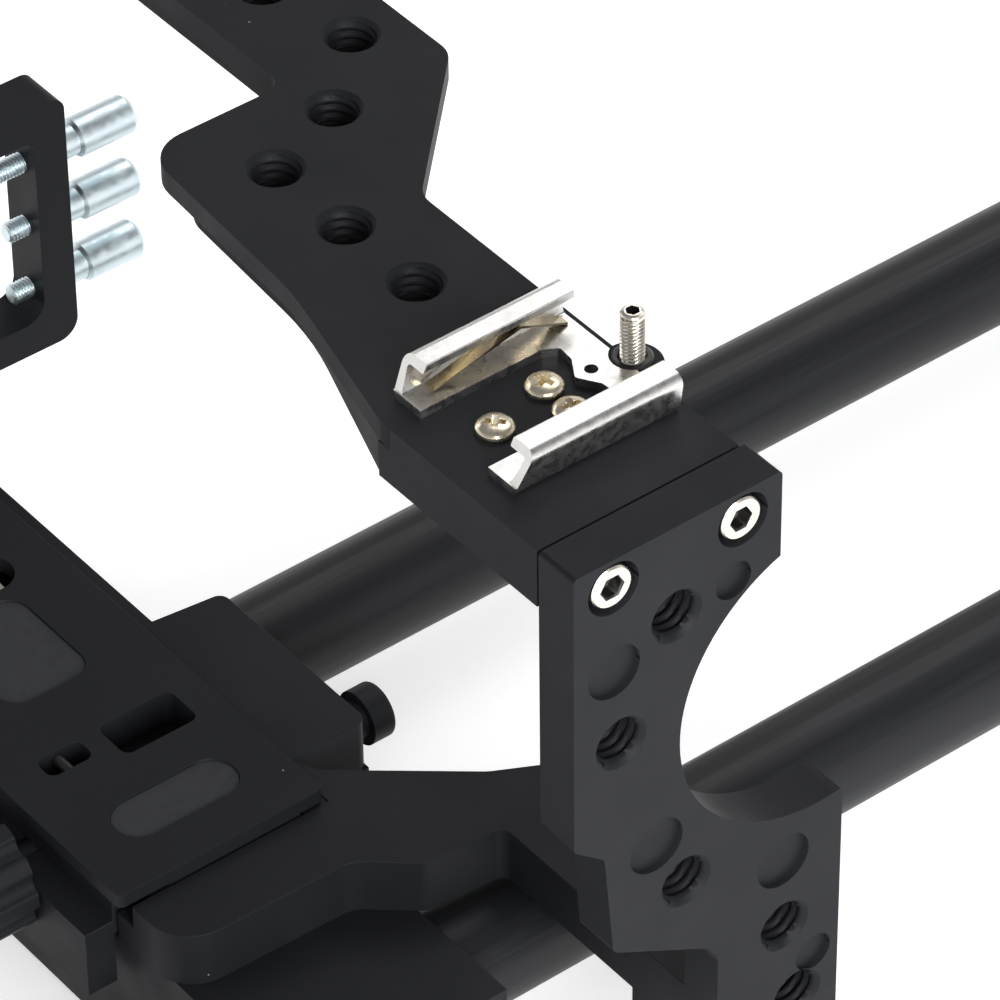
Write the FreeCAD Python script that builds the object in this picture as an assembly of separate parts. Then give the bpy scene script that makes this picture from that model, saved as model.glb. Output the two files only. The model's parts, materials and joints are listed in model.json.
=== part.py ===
import FreeCAD, Part
import math
import os

V = FreeCAD.Vector

# Camera cage: a zigzag top plate and a notched side plate over a quick-release base on two rods.
# Millimetres. X runs along the top plate, Y along the rods to the lens side, Z is up.
# The origin is on the floor, midway between the rods, level with the side plate's rear edge.

# rods and clamp block
rod_diameter = 15.0
rod_spacing = 60.0
rod_length = 300.0
rod_rear_end = -120.0
rod_bore_wall = 2.2
rod_running_gap = 0.05
rod_axis_height = 13.0
cap_flange = 2.0
cap_plug_length = 8.0
cap_plug_gap = 0.03
block_end_wall = 6.5
block_rear = -18.0
block_front = 12.0
block_base_height = 1.5
tongue_front = 22.6
tongue_left = -28.0
tongue_right = 3.1
foot_strip_width = 6.0
foot_strip_broad = 13.2
foot_strip_inset = 2.0
foot_strip_end = 3.0

# bottom arm
arm_over_rods = 0.5
arm_thickness = 8.0
arm_left_end = -92.0
arm_rear = -19.0
arm_step_front = 12.6
receiver_depth = 3.4

# side plate
side_outer_x = 72.0
side_thickness = 6.0
side_height = 96.4
side_top_width = 29.0
side_foot_front = 39.2
side_foot_rear = 21.0
notch_radius = 21.07
notch_centre_y = 36.05
notch_drop = 32.1
plate_end_length = 28.0

# top plate
top_thickness = 8.0
top_rim_thickness = 3.0
top_rim_overhang = 2.5
top_left_end = -78.0
top_front = 28.0
top_strip_rear = 28.2
top_strip_front = 47.2
top_corner_left = -17.3
plate_seam = 0.3

# threads and screws
quarter_minor = 5.35
quarter_mouth = 7.2
m3_diameter = 3.0
m3_head = 5.5
m3_head_height = 3.0
m3_key = 2.5
head_clearance = 0.35
side_head_clearance = 0.75
side_screw_length = 12.0
screw_bore_gap = 0.05

# accessory shoe
shoe_width = 21.4
shoe_length = 22.9
shoe_height = 5.4
shoe_sheet = 1.1
shoe_lip_width = 23.0
shoe_slot_width = 15.4
shoe_centre_x = 46.6
shoe_screw_head = 4.6

# quick-release plate
quick_length = 77.0
quick_right_end = 11.4
quick_width = 30.4
quick_front = 9.8
quick_slab = 2.0
quick_corner = 1.0
quick_tongue = 3.2
quick_seat_gap = 0.3
dovetail_slope = 1.6
plate_travel = 13.0

# cable frame
frame_outer_x = -80.0
frame_thickness = 7.0
frame_front = 38.4
frame_rear = -14.0
frame_height = 38.8
frame_bar = 5.0
frame_post = 16.0
cable_screw_pitch = 10.2
cable_screw_lowest = 8.0
cable_knob_diameter = 5.4
cable_knob_length = 9.0
cable_neck_length = 2.2

# derived levels
block_bottom = block_base_height
block_top = rod_axis_height + rod_diameter / 2 + arm_over_rods
arm_top = block_top + arm_thickness
recess_floor = arm_top - receiver_depth
foot_bottom = block_top - 6.0
side_top = foot_bottom + side_height
side_inner_x = side_outer_x - side_thickness
top_right_end = side_inner_x - plate_seam
top_under = side_top - top_thickness
rod_x = rod_spacing / 2
block_half = rod_x + rod_diameter / 2 + block_end_wall


def box(x0, x1, y0, y1, z0, z1):
    return Part.makeBox(x1 - x0, y1 - y0, z1 - z0, V(x0, y0, z0))


def cylinder(radius, start, direction, length):
    return Part.makeCylinder(radius, length, V(*start), V(*direction))


def rounded_face(corners):
    """Closed outline of (x, y, radius) corners, each rounded by its own radius."""
    edges = []
    count = len(corners)
    tangents = []
    for i in range(count):
        px, py, r = corners[i]
        p = V(px, py, 0)
        before = V(corners[i - 1][0], corners[i - 1][1], 0) - p
        after = V(corners[(i + 1) % count][0], corners[(i + 1) % count][1], 0) - p
        before.normalize()
        after.normalize()
        if r <= 0:
            tangents.append((p, None, p))
            continue
        half = before.getAngle(after) / 2
        reach = r / math.tan(half)
        middle = before + after
        middle.normalize()
        centre = p + middle * (r / math.sin(half))
        tangents.append((p + before * reach, centre - middle * r, p + after * reach))
    for i in range(count):
        start, crown, end = tangents[i]
        if crown is not None:
            edges.append(Part.Arc(start, crown, end).toShape())
        following = tangents[(i + 1) % count][0]
        if (following - end).Length > 1e-6:
            edges.append(Part.LineSegment(end, following).toShape())
    return Part.Face(Part.Wire(edges))


def slab(corners, z0, z1):
    solid = rounded_face(corners).extrude(V(0, 0, z1 - z0))
    solid.translate(V(0, 0, z0))
    return solid


def upright(corners, x0, x1):
    """Extrudes a (y, z) outline along X."""
    solid = rounded_face(corners).extrude(V(0, 0, x1 - x0))
    solid.rotate(V(0, 0, 0), V(1, 1, 1), 120)
    solid.translate(V(x0, 0, 0))
    return solid


def tapped_hole(mouth, direction, depth):
    """A quarter-inch hole with a bevelled mouth, cut from its mouth along direction."""
    bevel = (quarter_mouth - quarter_minor) / 2
    hole = cylinder(quarter_minor / 2, mouth, direction, depth)
    cone = Part.makeCone(quarter_mouth / 2, quarter_minor / 2, bevel, V(*mouth), V(*direction))
    return hole.fuse(cone)


def cap_screw(seat, direction, length, diameter=m3_diameter, head=m3_head,
              height=m3_head_height, key=m3_key):
    """Socket-cap screw; seat is where its head bears, direction is where its shank points."""
    d = V(*direction)
    shank = Part.makeCylinder(diameter / 2, length, V(*seat), d)
    top = V(*seat) - d * height
    knob = Part.makeCylinder(head / 2, height, top, d)
    socket = Part.makeCylinder(key / 2 / math.cos(math.pi / 6), height * 0.6, top, d)
    side = d.cross(V(0, 0, 1) if abs(d.z) < 0.9 else V(1, 0, 0))
    side.normalize()
    across = d.cross(side)
    r = key / 2 / math.cos(math.pi / 6)
    corners = [top + side * (r * math.cos(a)) + across * (r * math.sin(a))
               for a in [math.pi / 3 * k for k in range(6)]]
    hexagon = Part.Face(Part.makePolygon(corners + [corners[0]])).extrude(d * (height * 0.6))
    return knob.fuse(shank).cut(hexagon.common(socket))


def export(name, *solids):
    shape = solids[0] if len(solids) == 1 else Part.makeCompound(list(solids))
    if len(solids) == 1:
        shape = shape.removeSplitter()
    shape.exportStep("parts/" + name + ".step")
    print(name, len(shape.Solids), "solids", round(shape.Volume, 1), "mm3")


# places shared by neighbours
top_holes = [(21.3, 17.9), (8.2, 17.9), (-5.2, 18.0), (-10.1, 30.0), (-20.2, 40.2)]
top_holes += [(-20.2 - 14 * k, 37.7) for k in (1, 2, 3)]
side_taps = [(14.3, 12.9), (6.6, 27.2), (16.1, 53.9), (30.9, 70.0), (33.1, 82.4)]
side_dimples = [(22.3, 12.2, 5.0), (5.6, 16.2, 7.2), (11.7, 45.8, 7.6)]
side_dimples += [(30.5, 59.4, 7.6), (35.4, 77.0, 5.2)]
upper_screw_y = [5.5, side_top_width - 5.5]
upper_screw_z = side_top - 4.1
lower_screw_y = [side_foot_rear + 6.0, side_foot_front - 4.2]
lower_screw_z = foot_bottom + 3.9
seat_depth = m3_head_height + 0.2


def top_outline(inset):
    i = inset
    return [
        (top_right_end, 0.0, 0),
        (top_right_end, top_front, 0),
        (9.2 - i, top_front - i, 4.0),
        (-10.2 - 0.4 * i, top_strip_front - i, 4.0),
        (top_left_end + i, top_strip_front - i, 5.0),
        (top_left_end + i, top_strip_rear + i, 5.0),
        (top_corner_left + i, top_strip_rear + i, 2.5),
        (top_corner_left + i, 8.2 + i, 5.5),
        (14.0, 6.0 + i, 45.0),
        (38.5, 0.0, 12.0),
    ]


def top_plate():
    rim = slab(top_outline(0.0), side_top - top_rim_thickness, side_top)
    body = slab(top_outline(top_rim_overhang), top_under, side_top - top_rim_thickness)
    end_block = box(top_right_end - plate_end_length, top_right_end, 0.0, top_front,
                    top_under, side_top - top_rim_thickness)
    ear = cylinder(stop_ear_radius, (stop_x, stop_y, side_top), (0, 0, -1), top_thickness)
    plate = rim.fuse(body).fuse(end_block).fuse(ear)
    for x, y in top_holes:
        plate = plate.cut(tapped_hole((x, y, side_top), (0, 0, -1), top_thickness))
    for y in upper_screw_y:
        plate = plate.cut(cylinder(m3_diameter / 2, (top_right_end, y, upper_screw_z), (-1, 0, 0), 11.0))
    for x, y in shoe_screw_places:
        plate = plate.cut(cylinder(1.25, (x, y, side_top), (0, 0, -1), 6.0))
    plate = plate.cut(cylinder(stop_boss_radius, (stop_x, stop_y, side_top), (0, 0, -1), stop_boss_sink))
    return plate.cut(cylinder(m3_diameter / 2, (stop_x, stop_y, side_top), (0, 0, -1), stop_thread_depth))


def side_outline():
    top = side_top
    foot = foot_bottom
    return [
        (0.0, top, 0.6),
        (side_top_width, top, 0.6),
        (side_top_width, top - 28.5, 0),
        (side_foot_front, top - 53.7, 0),
        (side_foot_front, foot, 1.0),
        (side_foot_rear, foot, 1.0),
        (side_foot_rear, top - 67.5, 4.0),
        (5.6, top - 58.8, 1.5),
        (4.3, top - 43.6, 1.2),
        (0.0, top - 40.0, 1.2),
    ]


def side_plate():
    plate = upright(side_outline(), side_inner_x, side_outer_x)
    notch_centre = (side_inner_x - 1.0, notch_centre_y, side_top - notch_drop)
    plate = plate.cut(cylinder(notch_radius, notch_centre, (1, 0, 0), side_thickness + 2.0))
    for y, drop in side_taps:
        plate = plate.cut(tapped_hole((side_outer_x, y, side_top - drop), (-1, 0, 0), side_thickness))
    for y, drop, across in side_dimples:
        mouth = (side_outer_x, y, side_top - drop)
        plate = plate.cut(cylinder(across / 2, mouth, (-1, 0, 0), 0.8))
    seats = [(y, upper_screw_z) for y in upper_screw_y] + [(y, lower_screw_z) for y in lower_screw_y]
    for y, z in seats:
        mouth = (side_outer_x, y, z)
        plate = plate.cut(cylinder(m3_head / 2 + side_head_clearance, mouth, (-1, 0, 0), seat_depth))
        plate = plate.cut(cylinder(m3_diameter / 2 + screw_bore_gap, mouth, (-1, 0, 0), side_thickness))
    return plate


def side_screws(places):
    seat_x = side_outer_x - seat_depth
    return [cap_screw((seat_x, y, z), (-1, 0, 0), side_screw_length) for y, z in places]


# accessory shoe on the top plate
shoe_rear = 3.7
shoe_front = shoe_rear + shoe_length
shoe_screw_places = [(45.0, 17.5), (47.2, 8.9), (50.2, 17.2)]
shoe_lip_start = shoe_rear + 2.5
shoe_window_half = 6.0
leaf_low_y = shoe_rear + 3.0
leaf_crest_y = shoe_rear + 15.3
leaf_width = 1.6
stop_x = shoe_centre_x + 0.9
stop_y = top_front - 0.1
stop_ear_radius = 3.6
stop_boss_radius = 2.4
stop_boss_sink = 1.5
stop_boss_height = 1.0
stop_thread_depth = 6.0
stop_height = 7.4
stop_key = 1.5


def shoe_section():
    """Outline of the bent sheet as (x, height, radius), widening a little up to its lips."""
    half = shoe_width / 2
    lip = shoe_lip_width / 2
    slot = shoe_slot_width / 2
    under = shoe_height - shoe_sheet
    right = [
        (half - shoe_sheet, shoe_sheet, 0.3),
        (lip - shoe_sheet, under, 0.4),
        (slot, under, 0.2),
        (slot, shoe_height, 0.2),
        (lip, shoe_height, 1.3),
        (half, 0.0, 0.9),
    ]
    left = [(-x, z, r) for x, z, r in reversed(right)]
    return right + left


def shoe_channel():
    """Bent sheet: floor, two walls and two lips that turn in over the slot."""
    channel = rounded_face(shoe_section()).extrude(V(0, 0, shoe_length))
    channel.rotate(V(0, 0, 0), V(1, 0, 0), 90)
    channel.translate(V(shoe_centre_x, shoe_front, side_top))
    # the walls slant back from the floor's rear edge to the lips
    reach = shoe_lip_width / 2 + 1.0
    slant = [V(shoe_centre_x - reach, y, side_top + z) for y, z in (
        (shoe_rear - 1.0, shoe_sheet), (shoe_rear + 0.2, shoe_sheet),
        (shoe_lip_start, shoe_height + 0.4), (shoe_rear - 1.0, shoe_height + 0.4))]
    channel = channel.cut(Part.Face(Part.makePolygon(slant + [slant[0]])).extrude(V(2 * reach, 0, 0)))
    w = shoe_window_half
    c = shoe_centre_x
    window = slab([
        (c - w, shoe_rear - 1.0, 0),
        (c + w, shoe_rear - 1.0, 0),
        (c + w, shoe_front - 6.0, 0.6),
        (c + w - 1.0, shoe_front - 4.2, 0.6),
        (c + 2.7, shoe_front - 4.4, 0.6),
        (c, shoe_front - 6.1, 0.6),
        (c - 2.7, shoe_front - 4.4, 0.6),
        (c - w + 1.0, shoe_front - 4.2, 0.6),
        (c - w, shoe_front - 6.0, 0.6),
    ], side_top - 1.0, side_top + shoe_sheet + 0.5)
    channel = channel.cut(window)
    channel = channel.cut(cylinder(0.8, (c, shoe_front - 3.8, side_top), (0, 0, 1), shoe_sheet))
    return channel.cut(cylinder(stop_boss_radius + 0.3, (stop_x, stop_y, side_top), (0, 0, 1), shoe_sheet))


def shoe_leaf_spring():
    """Thin strip inside the far rail, bowed up from the floor to the lip."""
    x0 = shoe_centre_x - shoe_width / 2 + shoe_sheet + 0.4
    z0 = side_top + shoe_sheet + 0.05
    under = side_top + shoe_height - shoe_sheet - 0.1
    thick = 0.3
    y0 = leaf_low_y
    y1 = leaf_crest_y
    y2 = shoe_front - 1.0
    profile = [(y0, z0), (y1, under - thick), (y2, z0), (y2, z0 + thick), (y1, under), (y0, z0 + thick)]
    points = [V(x0, y, z) for y, z in profile]
    return Part.Face(Part.makePolygon(points + [points[0]])).extrude(V(leaf_width, 0, 0))


def shoe_screws():
    """Pan-head screws with a cross recess, on the plate inside the floor's window."""
    screws = []
    for x, y in shoe_screw_places:
        head = cylinder(shoe_screw_head / 2, (x, y, side_top), (0, 0, 1), 1.3)
        head = head.makeFillet(0.6, [head.Edges[0]])
        shank = cylinder(1.25, (x, y, side_top), (0, 0, -1), 5.5)
        screw = head.fuse(shank)
        for a, b in ((1.2, 0.25), (0.25, 1.2)):
            screw = screw.cut(box(x - a, x + a, y - b, y + b, side_top + 0.6, side_top + 1.4))
        screws.append(screw)
    return screws


def stop_boss():
    base = side_top - stop_boss_sink
    boss = cylinder(stop_boss_radius, (stop_x, stop_y, base), (0, 0, 1), stop_boss_sink + stop_boss_height)
    return boss.cut(cylinder(m3_diameter / 2 + screw_bore_gap, (stop_x, stop_y, base), (0, 0, 1), 4.0))


def stop_screw():
    bottom = side_top - stop_thread_depth + 0.3
    length = side_top + stop_height - bottom
    rod = cylinder(m3_diameter / 2 - 0.03, (stop_x, stop_y, bottom), (0, 0, 1), length)
    reach = stop_key / 2 / math.cos(math.pi / 6)
    top = V(stop_x, stop_y, bottom + length)
    corners = [top + V(reach * math.cos(a), reach * math.sin(a), 0)
               for a in [math.pi / 3 * k for k in range(6)]]
    socket = Part.Face(Part.makePolygon(corners + [corners[0]])).extrude(V(0, 0, -1.2))
    return rod.cut(socket)


# quick-release plate, its receiver and its clamp
quick_left_end = quick_right_end - quick_length
quick_rear = quick_front - quick_width
tongue_bottom = recess_floor + quick_seat_gap
slab_bottom = tongue_bottom + quick_tongue
quick_top = slab_bottom + quick_slab
fixed_wall_y = quick_front - 1.8
jaw_face_y = quick_rear + 5.6
slot_x = -46.0
slot_rear = -6.5
slot_front = 0.5
slot_width = 6.6
washer_radius = 5.2
screw_thread_radius = 3.1
screw_neck_radius = 2.85
screw_neck_over = 0.3
screw_thread_length = 4.7
receiver_left = quick_left_end - plate_travel - 0.5
receiver_right = quick_right_end + quick_seat_gap
jaw_left = -56.0
jaw_right = 8.0
jaw_screw_x = -9.0
jaw_pin_places = (-50.0, 3.0)
jaw_screw = 3.0
jaw_pin = 2.5
jaw_pin_reach = 5.5
jaw_shank_reach = 14.0
jaw_knob_radius = 8.0
jaw_knob_length = 10.0
jaw_lip_depth = 4.1
jaw_lip_bottom = rod_axis_height + 1.0
jaw_lip_top = block_top + 3.0
jaw_pocket_floor = block_top + 0.5
jaw_thickness = 4.4
jaw_lip_left = -rod_x + rod_diameter / 2 + 2.5
jaw_lip_rear = jaw_face_y - jaw_thickness - jaw_lip_depth
jaw_screw_z = block_top + 2.2
button_x = -2.0
button_z = block_top + 3.2
button_head = 7.4
button_head_length = 3.4
button_stem = 5.0
button_stem_reach = 5.0
button_bore_depth = 9.0
button_travel = 2.0
spring_coil_radius = 1.9
spring_wire = 0.2
spring_turns = 4
spring_end_gap = 0.1


def dovetail_prism(y_rear, y_front, x0, x1, z0, z1, grow):
    """Prism along X whose foot is wider than its neck; grow widens it all round."""
    neck_rear = y_rear + dovetail_slope - grow
    neck_front = y_front - dovetail_slope + grow
    pts = [V(x0, y_rear - grow, z0), V(x0, y_front + grow, z0), V(x0, neck_front, z1), V(x0, neck_rear, z1)]
    return Part.Face(Part.makePolygon(pts + [pts[0]])).extrude(V(x1 - x0, 0, 0))


def bottom_arm():
    outline = [
        (21.2, arm_rear, 6.0),
        (21.8, 6.0, 5.0),
        (27.6, 12.6, 2.0),
        (28.6, 23.8, 1.5),
        (side_inner_x, 23.8, 0),
        (side_inner_x, side_foot_front, 0),
        (25.4, side_foot_front, 5.0),
        (19.6, 28.4, 6.0),
        (6.6, arm_step_front, 0),
        (tongue_right, arm_step_front - 1.6, 0),
        (tongue_right, tongue_front, 1.5),
        (tongue_left + 1.2, tongue_front, 1.5),
        (tongue_left, arm_step_front, 0),
        (arm_left_end, arm_step_front, 4.0),
        (arm_left_end, arm_rear, 4.0),
    ]
    arm = slab(outline, block_top, arm_top)
    lug = box(side_inner_x - 13.0, side_inner_x, 23.8, side_foot_front, foot_bottom, block_top)
    arm = arm.fuse(lug)
    # receiver: undercut wall at the front, open at the rear where the jaw works
    above = arm_top + 1
    trough = box(receiver_left, receiver_right, arm_rear - 1, fixed_wall_y - dovetail_slope,
                 recess_floor, above)
    tail = dovetail_prism(jaw_face_y, fixed_wall_y, receiver_left, receiver_right,
                          recess_floor, slab_bottom, 0.0)
    over = box(receiver_left, receiver_right, arm_rear - 1, quick_front + quick_seat_gap,
               slab_bottom - 0.3, above)
    arm = arm.cut(trough).cut(tail).cut(over)
    # pocket and screw hole for the jaw
    pocket = box(jaw_left - 0.4, jaw_right + 0.4, arm_rear - 1, jaw_face_y + 0.6,
                 jaw_pocket_floor, above)
    arm = arm.cut(pocket)
    arm = arm.cut(cylinder(jaw_screw / 2, (jaw_screw_x, jaw_face_y, jaw_screw_z), (0, 1, 0),
                           jaw_shank_reach + 2.0))
    for x in jaw_pin_places:
        arm = arm.cut(cylinder(jaw_pin / 2, (x, jaw_face_y, jaw_screw_z), (0, 1, 0), jaw_pin_reach + 0.5))
    # blind bore for the button's stem with its spring behind
    mouth = (button_x, tongue_front + 1.0, button_z)
    arm = arm.cut(cylinder(button_stem / 2 + 0.15, mouth, (0, -1, 0), button_bore_depth + 1.0))
    for y in lower_screw_y:
        arm = arm.cut(cylinder(m3_diameter / 2, (side_inner_x, y, lower_screw_z), (-1, 0, 0), 11.0))
    for x, y in block_screw_places:
        mouth = (x, y, arm_top)
        arm = arm.cut(cylinder(block_head / 2 + 0.3, mouth, (0, 0, -1), arm_top - block_screw_seat))
        arm = arm.cut(cylinder(block_screw / 2 + screw_bore_gap, mouth, (0, 0, -1), arm_thickness))
    for y in frame_screw_places:
        arm = arm.cut(cylinder(m3_diameter / 2, (frame_middle_x, y, arm_top), (0, 0, -1), arm_thickness))
    return arm


block_screw_places = [(x, y) for x in (-18.5, 7.6) for y in (-5.4, 3.0)]
block_head = 6.0
block_screw_length = 11.0
block_screw = 4.0
block_screw_seat = block_top + 1.4
frame_middle_x = frame_outer_x - frame_thickness / 2
frame_screw_places = (-9.0, 5.0)
frame_screw_seat = arm_top + 1.8


def quick_plate():
    plate = slab([
        (quick_left_end, quick_rear, quick_corner),
        (quick_right_end, quick_rear, quick_corner),
        (quick_right_end, quick_front, quick_corner),
        (quick_left_end, quick_front, quick_corner),
    ], slab_bottom, quick_top)
    tail = dovetail_prism(jaw_face_y, fixed_wall_y, quick_left_end, quick_right_end,
                          tongue_bottom, slab_bottom, -quick_seat_gap)
    plate = plate.fuse(tail)
    half = slot_width / 2
    slot = slab([
        (slot_x - half, slot_rear - half, half - 0.01),
        (slot_x + half, slot_rear - half, half - 0.01),
        (slot_x + half, slot_front + half, half - 0.01),
        (slot_x - half, slot_front + half, half - 0.01),
    ], tongue_bottom - 1, quick_top + 1)
    wide = washer_radius + 0.6
    pocket = box(slot_x - wide, slot_x + wide, slot_rear - wide, slot_front + wide,
                 tongue_bottom - 1, tongue_bottom + 2.8)
    plate = plate.cut(slot).cut(pocket)
    for pad in pad_outlines(0.0):
        plate = plate.cut(slab(pad, quick_top - pad_sink, quick_top + 1))
    for x0, x1, y0, y1 in light_slots:
        corners = [(x0, y0, 1.2), (x1, y0, 1.2), (x1, y1, 1.2), (x0, y1, 1.2)]
        cut = slab(corners, tongue_bottom - 1, quick_top + 1)
        plate = plate.cut(cut)
    return plate


pad_sink = 0.8
pad_places = [(-2.0, 5.0, -13.9, 3.6, 3.4), (-41.0, -23.6, -11.5, 0.9, 3.0)]
pad_places += [(-62.0, -56.0, -15.0, 3.6, 2.9)]
light_slots = [(-14.5, -8.2, -5.4, 5.5), (-14.2, -10.6, -14.8, -8.4)]


def pad_outlines(gap):
    """Two pads along Y and a broad one in the middle of the plate."""
    pads = []
    for x0, x1, y0, y1, r in pad_places:
        left, right, rear, front = x0 + gap, x1 - gap, y0 + gap, y1 - gap
        pads.append([(left, rear, r), (right, rear, r), (right, front, r), (left, front, r)])
    return pads


def plate_pads():
    return [slab(pad, quick_top - pad_sink, quick_top - 0.3) for pad in pad_outlines(0.05)]


def slot_bar():
    """Small steel bar across the short slot, which the strap loops round."""
    return cylinder(0.8, (-14.2, -11.6, quick_top - 1.4), (1, 0, 0), 3.6)


def screw_washer():
    z = tongue_bottom + 2.8 - 0.6 - 0.1
    y = (slot_rear + slot_front) / 2
    ring = cylinder(washer_radius, (slot_x, y, z), (0, 0, 1), 0.6)
    return ring.cut(cylinder(screw_thread_radius + 0.08, (slot_x, y, z), (0, 0, 1), 0.6))


def camera_screw():
    z = tongue_bottom + 0.5
    y = (slot_rear + slot_front) / 2
    head_top = tongue_bottom + 2.8 - 0.6 - 0.1 - 0.1
    head = cylinder(5.0, (slot_x, y, z), (0, 0, 1), head_top - z)
    head = head.cut(box(slot_x - 6, slot_x + 6, y - 0.6, y + 0.6, z - 1, z + 0.8))
    thread_start = quick_top + screw_neck_over
    neck = cylinder(screw_neck_radius, (slot_x, y, head_top), (0, 0, 1), thread_start - head_top)
    thread = cylinder(screw_thread_radius, (slot_x, y, thread_start), (0, 0, 1), screw_thread_length)
    return head.fuse(neck).fuse(thread)


def clamp_jaw():
    """Bar whose upper edge leans over the plate's tail."""
    z0 = jaw_pocket_floor + 0.3
    z1 = slab_bottom - 0.35
    y0 = jaw_face_y - jaw_thickness
    gap = 0.3
    pts = [V(0, y0, z0), V(0, jaw_face_y - gap, z0), V(0, jaw_face_y - gap, tongue_bottom),
           V(0, jaw_face_y + dovetail_slope - gap - 0.2, z1), V(0, y0, z1)]
    bar = Part.Face(Part.makePolygon(pts + [pts[0]])).extrude(V(jaw_right - jaw_left, 0, 0))
    bar.translate(V(jaw_left, 0, 0))
    lip = box(jaw_lip_left, jaw_right, y0 - jaw_lip_depth, y0 + 0.1, jaw_lip_bottom, jaw_lip_top)
    bar = bar.fuse(lip)
    through = jaw_thickness + jaw_lip_depth + 2
    mouth = (jaw_screw_x, jaw_lip_rear - 1, jaw_screw_z)
    bar = bar.cut(cylinder(jaw_screw / 2 + 0.1, mouth, (0, 1, 0), through))
    for x in jaw_pin_places:
        bar = bar.cut(cylinder(jaw_pin / 2 + 0.05, (x, y0 + 0.4, jaw_screw_z), (0, 1, 0), through))
    return bar


def jaw_guide_pins():
    start = jaw_face_y - jaw_thickness + 0.7
    length = jaw_face_y + jaw_pin_reach - start
    return [cylinder(jaw_pin / 2, (x, start, jaw_screw_z), (0, 1, 0), length) for x in jaw_pin_places]


def fluted_knob(radius, start, direction, length, flutes, depth):
    knob = cylinder(radius, start, direction, length)
    d = V(*direction)
    side = V(0, 0, 1) if abs(d.z) < 0.9 else V(1, 0, 0)
    across = d.cross(side)
    for k in range(flutes):
        a = 2 * math.pi * k / flutes
        centre = V(*start) + (side * math.cos(a) + across * math.sin(a)) * (radius + depth)
        knob = knob.cut(Part.makeCylinder(2 * depth, length + 2, centre - d, d))
    return knob


def jaw_knob():
    y_seat = jaw_lip_rear - 0.2
    seat = (jaw_screw_x, y_seat, jaw_screw_z)
    head = fluted_knob(jaw_knob_radius, seat, (0, -1, 0), jaw_knob_length, 10, 0.8)
    shank = cylinder(jaw_screw / 2 - 0.02, seat, (0, 1, 0), jaw_face_y - y_seat + jaw_shank_reach)
    return head.fuse(shank)


def release_button():
    start = tongue_front + 0.2 + button_travel
    head = cylinder(button_head / 2, (button_x, start, button_z), (0, 1, 0), button_head_length)
    end = start + button_head_length
    head = head.makeFillet(0.6, [e for e in head.Edges if abs(e.BoundBox.YMin - end) < 1e-6][:1])
    length = start - tongue_front + button_stem_reach
    return head.fuse(cylinder(button_stem / 2, (button_x, start, button_z), (0, -1, 0), length))


def spring_coil(start, direction, coil_radius, wire_radius, length, turns):
    steps = 16 * turns
    points = []
    for k in range(steps + 1):
        a = 2 * math.pi * turns * k / steps
        points.append(V(coil_radius * math.cos(a), coil_radius * math.sin(a), length * k / steps))
    curve = Part.BSplineCurve()
    curve.interpolate(points)
    profile = Part.Wire(Part.makeCircle(wire_radius, points[0], curve.tangent(curve.FirstParameter)[0]))
    coil = Part.Wire(curve.toShape()).makePipeShell([profile], True, True)
    coil.Placement = FreeCAD.Placement(V(*start), FreeCAD.Rotation(V(0, 0, 1), V(*direction)))
    return coil


def release_spring():
    """Coil between the bore's floor and the end of the button's stem."""
    clear = spring_wire + spring_end_gap
    start = (button_x, tongue_front - button_bore_depth + clear, button_z)
    length = button_bore_depth - button_stem_reach - 2 * clear
    return spring_coil(start, (0, 1, 0), spring_coil_radius, spring_wire, length, spring_turns)


def clamp_block():
    body = box(-block_half, block_half, block_rear, block_front, block_bottom, block_top)
    body = body.fuse(box(tongue_left, tongue_right, block_front, tongue_front, block_bottom, block_top))
    for side in (-1, 1):
        bore = cylinder(rod_diameter / 2 + rod_running_gap, (side * rod_x, block_rear - 1, rod_axis_height),
                        (0, 1, 0), tongue_front - block_rear + 2)
        body = body.cut(bore)
        start = (side * (block_half + 1), clamp_screw_y, rod_axis_height)
        body = body.cut(cylinder(2.5, start, (-side, 0, 0), block_end_wall + 2))
    for x, y in block_screw_places:
        body = body.cut(cylinder(block_screw / 2, (x, y, block_top), (0, 0, -1), block_screw_length + 1.0))
    return body.cut(cylinder(bush_radius, (0, bush_y, block_bottom - 0.1), (0, 0, 1), bush_length + 0.1))


clamp_screw_y = -9.0
bush_radius = 5.5
bush_length = 9.0
bush_y = -9.0
bush_thread_radius = 4.0


def tripod_bush():
    bush = cylinder(bush_radius, (0, bush_y, block_bottom), (0, 0, 1), bush_length)
    return bush.cut(cylinder(bush_thread_radius, (0, bush_y, block_bottom), (0, 0, 1), bush_length))


def rod(side):
    start = (side * rod_x, rod_rear_end, rod_axis_height)
    tube = cylinder(rod_diameter / 2, start, (0, 1, 0), rod_length)
    return tube.cut(cylinder(rod_diameter / 2 - rod_bore_wall, start, (0, 1, 0), rod_length))


def rod_caps(side):
    """Plugs that close both ends of a rod, flush with its outside."""
    caps = []
    for y, out in ((rod_rear_end, -1), (rod_rear_end + rod_length, 1)):
        flange = cylinder(rod_diameter / 2, (side * rod_x, y, rod_axis_height), (0, out, 0), cap_flange)
        plug = cylinder(rod_diameter / 2 - rod_bore_wall - cap_plug_gap, (side * rod_x, y, rod_axis_height),
                        (0, -out, 0), cap_plug_length)
        caps.append(flange.fuse(plug))
    return caps


def rod_knob(side):
    seat = side * (block_half + 0.4)
    z = rod_axis_height
    head = fluted_knob(7.4, (seat + side * 4.0, clamp_screw_y, z), (side, 0, 0), 9.0, 12, 0.8)
    collar = cylinder(4.0, (seat, clamp_screw_y, z), (side, 0, 0), 4.0)
    shank = cylinder(2.5 - 0.02, (seat, clamp_screw_y, z), (-side, 0, 0), block_end_wall - 1.2)
    return head.fuse(collar).fuse(shank)


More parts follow.
